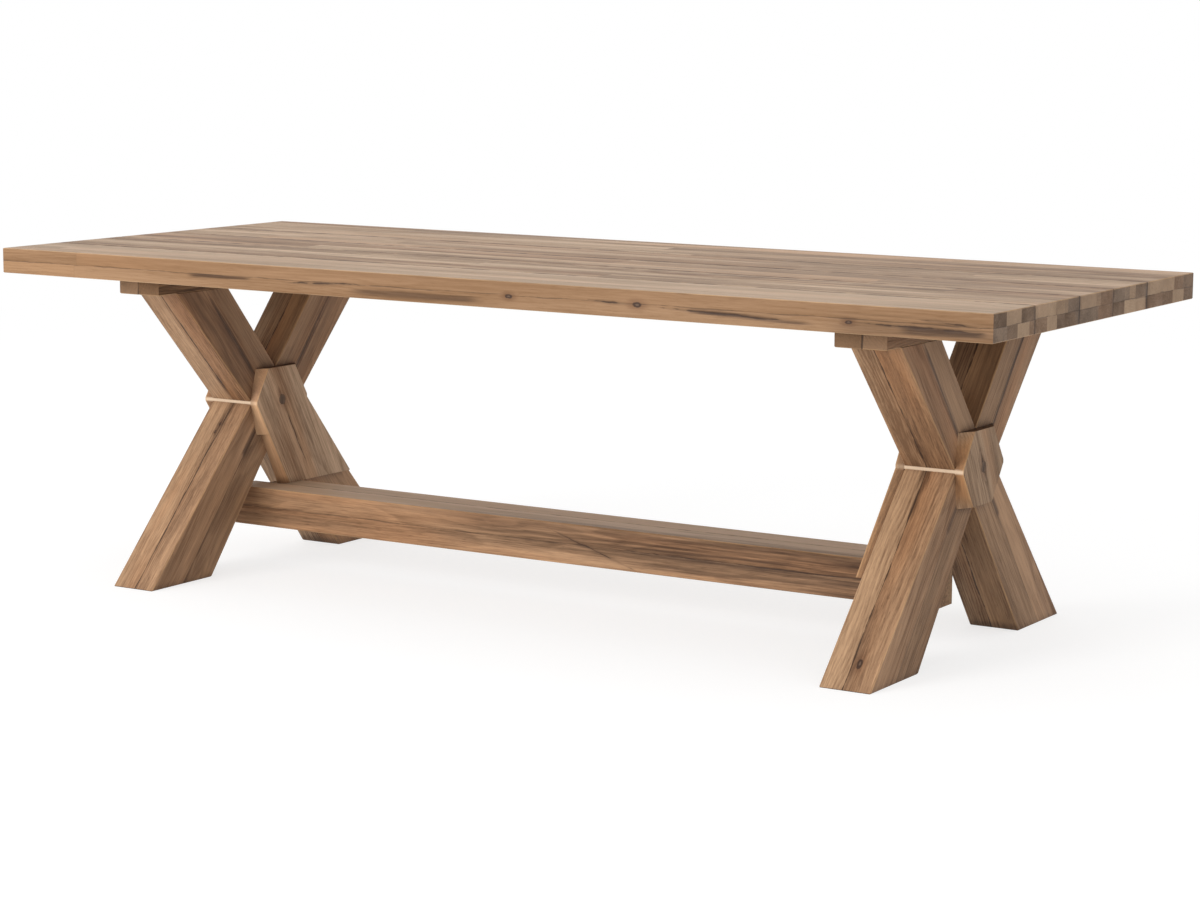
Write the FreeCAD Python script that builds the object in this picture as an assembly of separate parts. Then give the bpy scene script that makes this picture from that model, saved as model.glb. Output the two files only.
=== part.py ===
"""Sawbuck dining table: a thick plank top on two X trestles joined by a low stretcher.

Frame: X runs along the table, Y across it with -Y at the front, Z is up.
The origin is on the floor under the middle of the top. All sizes are in millimetres.
"""
import FreeCAD
import Part
import math
import os

V = FreeCAD.Vector

# ---- driving dimensions -------------------------------------------------------------
TOP_LENGTH = 2440.0
TOP_WIDTH = 1020.0
TABLE_HEIGHT = 760.0
TOP_LAYER = 28.0                # the top is two glued layers of this thickness
PLANK_WIDTHS = (188.0, 215.0, 172.0, 182.0, 263.0)    # from the front edge to the back

TRESTLE_OUTER_X = 958.0         # outer face of the legs
LEG_THICKNESS = 113.0           # along X
FOOT_OUTER_Y = 456.0            # outer edge of a foot on the floor
FOOT_INNER_Y = 244.0
LEG_TOP_OUTER_Y = 354.0         # the same two edges under the bearer
LEG_TOP_INNER_Y = 170.5
LEG_STAVE_SPLIT = 0.45          # glue line across the leg, as a share of its thickness
LEG_SEAM_SHARE = 0.62           # glue line along the leg leaves the hub here, from the vertex

HUB_Z = 388.0                   # centre of the crossing
HUB_HALF_DEPTH = 95.0           # half the hub's depth, front vertex to back vertex
HUB_HALF_HEIGHT = 78.0          # half the height between its top and bottom cuts
HUB_CORNER_Y = 45.0             # half the width of those two cuts
VERTEX_FLAT = 3.5               # half the narrow flat along each vertex
BOSS_PROUD = 20.0               # how far the hub stands out of the trestle
BOSS_ROOT_CORNER_Y = 84.0       # the boss widens towards the legs
BOSS_FACE_VERTEX_Y = 97.0

BRACE_THICKNESS = 20.0
BRACE_HEAD_FACE_Y = 50.0        # half the head's two cuts on the open face
BRACE_HEAD_ROOT_Y = 74.0        # and on the leg side
BRACE_HEEL_Y = 264.0            # far edge of the foot, along the leg
BRACE_TOE_FACE_Y = 25.0         # near edge of the foot on the open face
BRACE_TOE_ROOT_Y = 4.0

BEARER_HEIGHT = 40.0
BEARER_HALF_LENGTH = 415.0
BEARER_STRIP_SPLIT = 0.526      # glue line, as a share of the width from the inner side

STRETCHER_BOTTOM_Z = 95.0
STRETCHER_HEIGHT = 90.0
STRETCHER_FRONT_Y = -73.0
STRETCHER_SEAM_Y = 5.0          # glue line between the long front beam and the back beam
STRETCHER_BACK_Y = 73.0
FRONT_BEAM_END_X = 912.0
BACK_BEAM_END_X = 870.0

LONG_EDGE_EASE = 2.0            # chamfer on the long edges of legs, beams and bearers
TOP_EDGE_EASE = 1.5             # chamfer round the faces of the top planks

TENON_THICKNESS = 12.0          # loose tenons in the joints of the half-legs
TENON_WIDTH = 60.0              # along X
TENON_LENGTH = 60.0
TENON_IN_LEG = 34.0             # how much of the length stands in the half-leg
HUB_TENON_SHARE = 0.35          # its place along the hub's face, from the vertex
BEARER_TENON_YS = (215.0, 290.0)

SCREW_DIAMETER = 6.0
SCREW_HEAD_DIAMETER = 12.0
SCREW_HEAD_DEPTH = 4.0
BEARER_SCREW_LENGTH = 75.0
BEARER_SCREW_XS = (870.0, 926.0)
BEARER_SCREW_NEAR_Y = 90.0
BEARER_SCREW_FAR_Y = 390.0
FOOT_SCREW_LENGTH = 140.0
FOOT_SCREW_Y = -50.0

BOLT_DIAMETER = 10.0
BOLT_FLANGE_DIAMETER = 22.0
BOLT_FLANGE_THICKNESS = 2.0
BOLT_HEX_ACROSS_CORNERS = 18.0
BOLT_HEX_HEIGHT = 6.0
BOLT_END_COVER = 6.0            # wood left in front of the bolt's end, where the plug sits
OUTER_COUNTERBORE_DEPTH = 16.0
INNER_COUNTERBORE_DEPTH = 12.0
PLUG_DIAMETER = 24.0
OUTER_PLUG_THICKNESS = 5.0
INNER_PLUG_THICKNESS = 3.5

PIN_DIAMETER = 3.0
PIN_LENGTH = 40.0
PIN_HEAD_DIAMETER = 8.0
PIN_HEAD_HEIGHT = 1.2
PIN_RISE = 38.0                 # above the bottom of the stretcher

# ---- sizes that follow from them ------------------------------------------------------
TRESTLE_INNER_X = TRESTLE_OUTER_X - LEG_THICKNESS
BOSS_X = TRESTLE_OUTER_X + BOSS_PROUD
BRACE_X = TRESTLE_INNER_X - BRACE_THICKNESS
TOP_BOTTOM_Z = TABLE_HEIGHT - 2 * TOP_LAYER
LEG_TOP_Z = TOP_BOTTOM_Z - BEARER_HEIGHT
HUB_TOP_Z = HUB_Z + HUB_HALF_HEIGHT
HUB_BOTTOM_Z = HUB_Z - HUB_HALF_HEIGHT
STRETCHER_TOP_Z = STRETCHER_BOTTOM_Z + STRETCHER_HEIGHT
LEG_MIDDLE_X = (TRESTLE_INNER_X + TRESTLE_OUTER_X) / 2
STAVE_SPLIT_X = TRESTLE_INNER_X + LEG_STAVE_SPLIT * LEG_THICKNESS
STRIP_SPLIT_X = TRESTLE_INNER_X + BEARER_STRIP_SPLIT * LEG_THICKNESS

TINY = 0.01


# ---- shaping ------------------------------------------------------------------------
def box(x0, x1, y0, y1, z0, z1):
    return Part.makeBox(x1 - x0, y1 - y0, z1 - z0, V(x0, y0, z0))


def outline(points, x):
    """Closed wire through (y, z) points, in the plane across the table at x."""
    return Part.makePolygon([V(x, y, z) for y, z in points + points[:1]])


def slab(points, x0, x1):
    """Board with a (y, z) outline, running along X from x0 to x1."""
    return Part.Face(outline(points, x0)).extrude(V(x1 - x0, 0, 0))


def flared(root_points, root_x, face_points, face_x):
    """Block whose sides run straight from one outline to another."""
    return Part.makeLoft([outline(root_points, root_x), outline(face_points, face_x)], True, True)


def rod(diameter, length, start, direction):
    return Part.makeCylinder(diameter / 2, length, start, direction)


def eased(solid, size, wanted):
    """Chamfer the straight edges whose two ends both satisfy wanted(point)."""
    edges = [e for e in solid.Edges if all(wanted(v.Point) for v in e.Vertexes)]
    return solid.makeChamfer(size, edges)


def mirrored_y(points):
    return [(-y, z) for y, z in points]


def turned(shape):
    """The same shape on the other trestle: half a turn about Z."""
    copy = shape.copy()
    copy.rotate(V(0, 0, 0), V(0, 0, 1), 180)
    return copy


def at_end(shape, end):
    return shape if end == "right" else turned(shape)


def export(name, shapes):
    shape = shapes[0] if len(shapes) == 1 else Part.makeCompound(shapes)
    shape.exportStep("parts/" + name + ".step")


# ---- fasteners, placed on the right trestle ---------------------------------------------
def wood_screw(x, y, z, length):
    """Countersunk screw driven straight up, its head flush at z."""
    shank = rod(SCREW_DIAMETER, length, V(x, y, z), V(0, 0, 1))
    head = Part.makeCone(
        SCREW_HEAD_DIAMETER / 2, SCREW_DIAMETER / 2, SCREW_HEAD_DEPTH, V(x, y, z), V(0, 0, 1)
    )
    return shank.fuse(head).removeSplitter()


def hexagon_nut_body(x, direction):
    """Hexagon with a flange under it, on the hub's axis, growing from x along X."""
    flange = rod(BOLT_FLANGE_DIAMETER, BOLT_FLANGE_THICKNESS, V(x, 0, HUB_Z), V(direction, 0, 0))
    corners = []
    for i in range(7):
        angle = math.radians(60 * i)
        corners.append((
            BOLT_HEX_ACROSS_CORNERS / 2 * math.cos(angle),
            HUB_Z + BOLT_HEX_ACROSS_CORNERS / 2 * math.sin(angle),
        ))
    start = x + direction * BOLT_FLANGE_THICKNESS
    wire = Part.makePolygon([V(start, y, z) for y, z in corners])
    hexagon = Part.Face(wire).extrude(V(direction * BOLT_HEX_HEIGHT, 0, 0))
    return flange.fuse(hexagon).removeSplitter()


def loose_tenon(foot, along, outward):
    """Flat board in a joint: foot is where its middle line crosses the joint, as (y, z)."""
    corners = []
    for side, reach in ((-1, TENON_IN_LEG - TENON_LENGTH), (1, TENON_IN_LEG - TENON_LENGTH),
                        (1, TENON_IN_LEG), (-1, TENON_IN_LEG)):
        corner = foot + along * (side * TENON_THICKNESS / 2) + outward * reach
        corners.append((corner.y, corner.z))
    return slab(corners, LEG_MIDDLE_X - TENON_WIDTH / 2, LEG_MIDDLE_X + TENON_WIDTH / 2)


def leg_tenons(side, level):
    """The tenons of one half-leg: side is -1 or 1 along Y, level is -1 or 1 along Z."""
    vertex = V(0, side * HUB_HALF_DEPTH, HUB_Z + level * VERTEX_FLAT)
    corner = V(0, side * HUB_CORNER_Y, HUB_Z + level * HUB_HALF_HEIGHT)
    along = (corner - vertex).normalize()
    seat = vertex + (corner - vertex) * HUB_TENON_SHARE
    tenons = [loose_tenon(seat, along, V(0, side * abs(along.z), level * abs(along.y)))]
    if level > 0:
        for y in BEARER_TENON_YS:
            tenons.append(loose_tenon(V(0, side * y, LEG_TOP_Z), V(0, 1, 0), V(0, 0, -1)))
    return tenons


TENONS = {(side, level): leg_tenons(side, level) for side in (-1, 1) for level in (-1, 1)}
ALL_TENONS = [tenon for tenons in TENONS.values() for tenon in tenons]
BEARER_SCREWS = [
    wood_screw(BEARER_SCREW_XS[0], -BEARER_SCREW_NEAR_Y, LEG_TOP_Z, BEARER_SCREW_LENGTH),
    wood_screw(BEARER_SCREW_XS[1], BEARER_SCREW_NEAR_Y, LEG_TOP_Z, BEARER_SCREW_LENGTH),
    wood_screw(BEARER_SCREW_XS[0], BEARER_SCREW_FAR_Y, LEG_TOP_Z, BEARER_SCREW_LENGTH),
    wood_screw(BEARER_SCREW_XS[1], -BEARER_SCREW_FAR_Y, LEG_TOP_Z, BEARER_SCREW_LENGTH),
]
FOOT_SCREW = wood_screw(
    TRESTLE_INNER_X - BRACE_THICKNESS / 2, FOOT_SCREW_Y, STRETCHER_BOTTOM_Z, FOOT_SCREW_LENGTH
)

BOLT_SEAT_X = BOSS_X - OUTER_COUNTERBORE_DEPTH      # bottom of the counterbore under the outer plug
NUT_SEAT_X = BRACE_X + INNER_COUNTERBORE_DEPTH      # bottom of the counterbore in the brace
BOLT_END_X = BRACE_X + BOLT_END_COVER
TO_THE_RIGHT = V(1, 0, 0)
BOLT_SHANK = rod(BOLT_DIAMETER, BOLT_SEAT_X - BOLT_END_X, V(BOLT_END_X, 0, HUB_Z), TO_THE_RIGHT)
BOLT = BOLT_SHANK.fuse(hexagon_nut_body(BOLT_SEAT_X, 1)).removeSplitter()
NUT = hexagon_nut_body(NUT_SEAT_X, -1).cut(BOLT_SHANK)
OUTER_COUNTERBORE = rod(
    PLUG_DIAMETER, OUTER_COUNTERBORE_DEPTH, V(BOLT_SEAT_X, 0, HUB_Z), TO_THE_RIGHT
)
INNER_COUNTERBORE = rod(PLUG_DIAMETER, INNER_COUNTERBORE_DEPTH, V(BRACE_X, 0, HUB_Z), TO_THE_RIGHT)
OUTER_PLUG = rod(
    PLUG_DIAMETER, OUTER_PLUG_THICKNESS, V(BOSS_X - OUTER_PLUG_THICKNESS, 0, HUB_Z), TO_THE_RIGHT
)
INNER_PLUG = rod(PLUG_DIAMETER, INNER_PLUG_THICKNESS, V(BRACE_X, 0, HUB_Z), TO_THE_RIGHT)


# ---- top ----------------------------------------------------------------------------
def plank(y0, y1, z0, z1, face_z, screws):
    """One layer of a plank: its open face and its upright corners are eased."""
    half = TOP_LENGTH / 2
    board = box(-half, half, y0, y1, z0, z1)
    corner_ends = eased(board, TOP_EDGE_EASE, lambda p: abs(p.z - face_z) < TINY)
    return corner_ends.cut(screws) if screws else corner_ends


def make_top():
    screws = [at_end(s, end) for end in ("right", "left") for s in BEARER_SCREWS]
    y = -TOP_WIDTH / 2
    for number, width in enumerate(PLANK_WIDTHS, start=1):
        layers = (
            ("upper", TOP_BOTTOM_Z + TOP_LAYER, TABLE_HEIGHT, TABLE_HEIGHT),
            ("lower", TOP_BOTTOM_Z, TOP_BOTTOM_Z + TOP_LAYER, TOP_BOTTOM_Z),
        )
        inside = [s for s in screws if y < s.BoundBox.Center.y < y + width]
        for layer, z0, z1, face_z in layers:
            export(f"top_plank_{number}_{layer}", [plank(y, y + width, z0, z1, face_z, inside)])
        y += width


# ---- legs ---------------------------------------------------------------------------
def half_leg_outline(level):
    """Front half-leg, above (1) or below (-1) the hub, notched to sit on two hub faces."""
    hub_points = [
        (-HUB_HALF_DEPTH, HUB_Z + level * VERTEX_FLAT),
        (-HUB_CORNER_Y, HUB_Z + level * HUB_HALF_HEIGHT),
        (0.0, HUB_Z + level * HUB_HALF_HEIGHT),
    ]
    if level > 0:
        return hub_points + [(-LEG_TOP_INNER_Y, LEG_TOP_Z), (-LEG_TOP_OUTER_Y, LEG_TOP_Z)]
    return hub_points + [(-FOOT_INNER_Y, 0.0), (-FOOT_OUTER_Y, 0.0)]


def front_of_seam(level):
    """Outline that holds everything in front of the glue line along a front half-leg."""
    vertex_z = HUB_Z + level * VERTEX_FLAT
    start_y = -HUB_HALF_DEPTH + LEG_SEAM_SHARE * (HUB_HALF_DEPTH - HUB_CORNER_Y)
    start_z = vertex_z + LEG_SEAM_SHARE * (HUB_Z + level * HUB_HALF_HEIGHT - vertex_z)
    if level > 0:
        end_y, end_z = -(LEG_TOP_INNER_Y + LEG_TOP_OUTER_Y) / 2, LEG_TOP_Z
    else:
        end_y, end_z = -(FOOT_INNER_Y + FOOT_OUTER_Y) / 2, 0.0
    run_y, run_z = end_y - start_y, end_z - start_z
    far = -2 * FOOT_OUTER_Y
    near_end = (start_y - 0.5 * run_y, start_z - 0.5 * run_z)
    far_end = (end_y + 0.5 * run_y, end_z + 0.5 * run_z)
    return [near_end, far_end, (far, far_end[1]), (far, near_end[1])]


def on_long_face(point, points):
    """True on one of the two long edges of a half-leg's outline, or on the floor."""
    pairs = ((points[2], points[3]), (points[0], points[4]))
    for (ya, za), (yb, zb) in pairs:
        run = math.hypot(yb - ya, zb - za)
        if abs((point.y - ya) * (zb - za) - (point.z - za) * (yb - ya)) / run < TINY:
            return True
    return False


def half_leg(side, level):
    points = half_leg_outline(level)
    seam = front_of_seam(level)
    if side > 0:
        points = mirrored_y(points)
        seam = mirrored_y(seam)
    leg = slab(points, TRESTLE_INNER_X, TRESTLE_OUTER_X)
    long_edges = []
    for edge in leg.Edges:
        ends = [v.Point for v in edge.Vertexes]
        on_floor = all(abs(p.z) < TINY for p in ends)
        across_the_table = abs(ends[0].x - ends[1].x) < TINY
        runs_along_leg = across_the_table and abs(ends[0].z - ends[1].z) > 2 * HUB_HALF_HEIGHT
        if on_floor or (runs_along_leg and all(on_long_face(p, points) for p in ends)):
            long_edges.append(edge)
    leg = leg.makeChamfer(LONG_EDGE_EASE, long_edges).cut(TENONS[side, level])
    staves = []
    for x0, x1 in ((TRESTLE_INNER_X, STAVE_SPLIT_X), (STAVE_SPLIT_X, TRESTLE_OUTER_X)):
        mask = slab(seam, x0, x1)
        across = box(x0, x1, -TOP_WIDTH, TOP_WIDTH, 0, TABLE_HEIGHT)
        strip = leg.common(across)
        staves.append(strip.common(mask))
        staves.append(strip.cut(mask))
    return staves


def make_legs():
    positions = ("inner_face", "inner_back", "outer_face", "outer_back")
    for level, level_name in ((1, "upper"), (-1, "lower")):
        for side in (-1, 1):
            for stave, position in zip(half_leg(side, level), positions):
                for end, front in (("right", -1), ("left", 1)):
                    side_name = "front" if side == front else "rear"
                    name = f"{end}_leg_{side_name}_{level_name}_{position}"
                    export(name, [at_end(stave, end)])


# ---- hubs and braces ----------------------------------------------------------------
def eight_corners(vertex_y, corner_y):
    """Hexagon with narrow flats on its front and back vertices, as (y, z) points."""
    upper = HUB_Z + VERTEX_FLAT
    lower = HUB_Z - VERTEX_FLAT
    return [
        (-vertex_y, lower), (-vertex_y, upper), (-corner_y, HUB_TOP_Z), (corner_y, HUB_TOP_Z),
        (vertex_y, upper), (vertex_y, lower), (corner_y, HUB_BOTTOM_Z), (-corner_y, HUB_BOTTOM_Z),
    ]


def make_hubs():
    core = slab(eight_corners(HUB_HALF_DEPTH, HUB_CORNER_Y), TRESTLE_INNER_X, TRESTLE_OUTER_X)
    boss = flared(
        eight_corners(HUB_HALF_DEPTH, BOSS_ROOT_CORNER_Y), TRESTLE_OUTER_X,
        eight_corners(BOSS_FACE_VERTEX_Y, HUB_CORNER_Y), BOSS_X,
    )
    hub = core.fuse(boss).removeSplitter()
    hub = hub.cut(ALL_TENONS + [OUTER_COUNTERBORE, BOLT_SHANK])
    for end in ("right", "left"):
        export(f"{end}_hub", [at_end(hub, end)])


def strut_outline(head_y, toe_y):
    """The strut's board: as wide as the head at the top, and its foot on the stretcher."""
    near_toe, far_heel = (-toe_y, STRETCHER_TOP_Z), (-BRACE_HEEL_Y, STRETCHER_TOP_Z)
    return eight_corners(HUB_HALF_DEPTH, head_y)[:6] + [near_toe, far_heel]


def make_braces():
    """Hexagon head over the hub's inner end, and a strut across it that stands on the stretcher."""
    head = flared(
        eight_corners(HUB_HALF_DEPTH, BRACE_HEAD_ROOT_Y), TRESTLE_INNER_X,
        eight_corners(HUB_HALF_DEPTH, BRACE_HEAD_FACE_Y), BRACE_X,
    )
    strut = flared(
        strut_outline(BRACE_HEAD_ROOT_Y, BRACE_TOE_ROOT_Y), TRESTLE_INNER_X,
        strut_outline(BRACE_HEAD_FACE_Y, BRACE_TOE_FACE_Y), BRACE_X,
    )
    brace = strut.fuse(head).removeSplitter()
    brace = brace.cut([INNER_COUNTERBORE, BOLT_SHANK, FOOT_SCREW])
    for end in ("right", "left"):
        export(f"{end}_brace", [at_end(brace, end)])


# ---- bearers under the top ------------------------------------------------------------
def make_bearers():
    strips = (
        ("inner", TRESTLE_INNER_X, STRIP_SPLIT_X),
        ("outer", STRIP_SPLIT_X, TRESTLE_OUTER_X),
    )
    for name, x0, x1 in strips:
        strip = box(x0, x1, -BEARER_HALF_LENGTH, BEARER_HALF_LENGTH, LEG_TOP_Z, TOP_BOTTOM_Z)
        strip = eased(strip, LONG_EDGE_EASE, lambda p: abs(p.z - LEG_TOP_Z) < TINY)
        strip = strip.cut(ALL_TENONS + BEARER_SCREWS)
        for end in ("right", "left"):
            export(f"{end}_bearer_{name}_strip", [at_end(strip, end)])


# ---- stretcher ----------------------------------------------------------------------
def make_stretcher():
    screws = [FOOT_SCREW, turned(FOOT_SCREW)]
    middle = (STRETCHER_BOTTOM_Z + STRETCHER_TOP_Z) / 2
    front_x, back_x = FRONT_BEAM_END_X, BACK_BEAM_END_X
    beams = (
        ("front_lower", front_x, STRETCHER_FRONT_Y, STRETCHER_SEAM_Y, STRETCHER_BOTTOM_Z, middle),
        ("front_upper", front_x, STRETCHER_FRONT_Y, STRETCHER_SEAM_Y, middle, STRETCHER_TOP_Z),
        ("rear", back_x, STRETCHER_SEAM_Y, STRETCHER_BACK_Y, STRETCHER_BOTTOM_Z, STRETCHER_TOP_Z),
    )
    for name, end_x, y0, y1, z0, z1 in beams:
        beam = box(-end_x, end_x, y0, y1, z0, z1)
        open_y = y1 if name == "rear" else y0
        open_zs = [z for z in (z0, z1) if z != middle]
        beam = eased(
            beam, LONG_EDGE_EASE,
            lambda p: abs(p.y - open_y) < TINY and any(abs(p.z - z) < TINY for z in open_zs),
        )
        export(f"stretcher_{name}", [beam.cut(screws + stretcher_pins())])


def stretcher_pins():
    """Round-headed pins in the two end faces of the front beam."""
    y, z = (STRETCHER_FRONT_Y + STRETCHER_SEAM_Y) / 2, STRETCHER_BOTTOM_Z + PIN_RISE
    pins = []
    for way in (1, -1):
        face = V(way * FRONT_BEAM_END_X, y, z)
        out = V(way, 0, 0)
        shank = rod(PIN_DIAMETER, PIN_LENGTH, face - out * PIN_LENGTH, out)
        radius = PIN_HEAD_DIAMETER / 2
        sphere_radius = (radius ** 2 + PIN_HEAD_HEIGHT ** 2) / (2 * PIN_HEAD_HEIGHT)
        ball = Part.makeSphere(sphere_radius, face - out * (sphere_radius - PIN_HEAD_HEIGHT))
        dome = ball.common(rod(PIN_HEAD_DIAMETER + 1, PIN_HEAD_HEIGHT * 2, face, out))
        pins.append(shank.fuse(dome).removeSplitter())
    return pins


# ---- fasteners --------------------------------------------------------------------------
def both_ends(shapes):
    return [at_end(shape, end) for end in ("right", "left") for shape in shapes]


def make_fasteners():
    export("leg_tenons", both_ends(ALL_TENONS))
    export("bearer_screws", both_ends(BEARER_SCREWS))
    export("brace_foot_screws", both_ends([FOOT_SCREW]))
    export("hub_bolts", both_ends([BOLT]))
    export("hub_nuts", both_ends([NUT]))
    export("hub_plugs", both_ends([OUTER_PLUG, INNER_PLUG]))
    export("stretcher_pins", stretcher_pins())


os.makedirs("parts", exist_ok=True)
make_top()
make_legs()
make_hubs()
make_braces()
make_bearers()
make_stretcher()
make_fasteners()
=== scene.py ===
import math

import bpy
from mathutils import Matrix, Vector


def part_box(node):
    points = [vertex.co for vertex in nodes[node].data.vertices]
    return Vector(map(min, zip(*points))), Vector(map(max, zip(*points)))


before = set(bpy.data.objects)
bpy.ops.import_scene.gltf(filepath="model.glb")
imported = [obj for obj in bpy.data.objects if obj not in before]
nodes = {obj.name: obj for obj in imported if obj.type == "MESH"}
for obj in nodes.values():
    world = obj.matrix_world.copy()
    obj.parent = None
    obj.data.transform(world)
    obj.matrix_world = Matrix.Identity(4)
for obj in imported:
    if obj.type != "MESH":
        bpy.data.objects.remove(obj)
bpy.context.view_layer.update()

X, Y, Z = Vector((1, 0, 0)), Vector((0, 1, 0)), Vector((0, 0, 1))


# ---- stretcher ------------------------------------------------------------------------
# The low rail that ties the two trestles: two long beams of old teak glued one on the
# other, and a shorter beam glued along their back. Sawn, brushed and left unvarnished.

def srgb(red, green, blue):
    """A colour written as 0 to 255 screen values, as the shader wants it."""
    def linear(value):
        value /= 255
        return value / 12.92 if value <= 0.04045 else ((value + 0.055) / 1.055) ** 2.4
    return linear(red), linear(green), linear(blue), 1.0


def fill(tree, made, values):
    """Sets a node's inputs, or links them where the value comes from another node."""
    for name, value in values.items():
        if isinstance(value, bpy.types.NodeSocket):
            tree.links.new(value, made.inputs[name])
        else:
            made.inputs[name].default_value = value


def add(tree, kind, values=None, **settings):
    """A shader node with its settings made and its inputs filled."""
    made = tree.nodes.new("ShaderNode" + kind)
    for setting, value in settings.items():
        setattr(made, setting, value)
    fill(tree, made, values or {})
    return made


def calc(tree, operation, *values, clamp=False):
    """A sum on numbers."""
    return add(tree, "Math", dict(enumerate(values)), operation=operation, use_clamp=clamp).outputs[0]


def vector_calc(tree, operation, *values):
    """A sum on vectors."""
    made = add(tree, "VectorMath", dict(enumerate(values)), operation=operation)
    single = operation in ("DOT_PRODUCT", "LENGTH", "DISTANCE")
    return made.outputs["Value" if single else "Vector"]


def step(tree, value, start, end, low=0.0, high=1.0):
    """Rises smoothly from low to high while value runs from start to end."""
    ends = {"Value": value, "From Min": start, "From Max": end, "To Min": low, "To Max": high}
    return add(tree, "MapRange", ends, interpolation_type="SMOOTHSTEP").outputs["Result"]


def blend(tree, share, first, second, way="MIX"):
    """Two colours mixed: 0 gives the first, 1 the second."""
    factor, colour_a, colour_b, result = 0, 6, 7, 2
    made = add(tree, "Mix", {factor: share, colour_a: first, colour_b: second},
               data_type="RGBA", blend_type=way)
    return made.outputs[result]


def shade(tree, share, colour, tone):
    """A colour darkened by a tone, as far as share says."""
    return blend(tree, share, colour, blend(tree, 1.0, colour, tone, "MULTIPLY"))


def effect(name, inputs, outputs):
    """A new shader node group: returns its tree, its input sockets and its output sockets."""
    tree = bpy.data.node_groups.new(name, "ShaderNodeTree")
    for side, sockets in (("INPUT", inputs), ("OUTPUT", outputs)):
        for label, kind in sockets.items():
            tree.interface.new_socket(label, in_out=side, socket_type="NodeSocket" + kind)
    return tree, tree.nodes.new("NodeGroupInput").outputs, tree.nodes.new("NodeGroupOutput").inputs


def use(tree, group, values):
    """An effect placed in a material with its own values."""
    made = tree.nodes.new("ShaderNodeGroup")
    made.node_tree = group
    fill(tree, made, values)
    return made.outputs


def noise(tree, place, stretch, detail=2.0, roughness=0.5):
    """Soft noise, with as many ups and downs to the metre each way as stretch says."""
    scaled = vector_calc(tree, "MULTIPLY", place, stretch)
    made = add(tree, "TexNoise", {"Vector": scaled, "Scale": 1.0, "Detail": detail, "Roughness": roughness})
    return made.outputs[0]


def swing(tree, value, reach):
    """Noise that swings both ways round nothing, as far along each axis as reach says."""
    return vector_calc(tree, "MULTIPLY", vector_calc(tree, "SUBTRACT", value, (0.5, 0.5, 0.5)), reach)


def from_line(tree, place, start, end):
    """How far along the line from start to end a place lies, from 0 to 1, and how far off it."""
    run = vector_calc(tree, "SUBTRACT", end, start)
    here = vector_calc(tree, "SUBTRACT", place, start)
    share = calc(tree, "DIVIDE", vector_calc(tree, "DOT_PRODUCT", here, run),
                 vector_calc(tree, "DOT_PRODUCT", run, run), clamp=True)
    away = vector_calc(tree, "DISTANCE", here, vector_calc(tree, "MULTIPLY", run, share))
    return share, away


def make_board_place():
    """Where a point is in its board: first along the grain, then across, then through."""
    tree, given, result = effect(
        "Board Place", {"Position": "Vector", "Grain": "Vector", "Across": "Vector"}, {"Place": "Vector"})
    through = vector_calc(tree, "CROSS_PRODUCT", given["Grain"], given["Across"])
    along = vector_calc(tree, "DOT_PRODUCT", given["Position"], given["Grain"])
    across = vector_calc(tree, "DOT_PRODUCT", given["Position"], given["Across"])
    depth = vector_calc(tree, "DOT_PRODUCT", given["Position"], through)
    place = add(tree, "CombineXYZ", {"X": along, "Y": across, "Z": depth})
    tree.links.new(place.outputs[0], result["Place"])
    return tree


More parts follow.
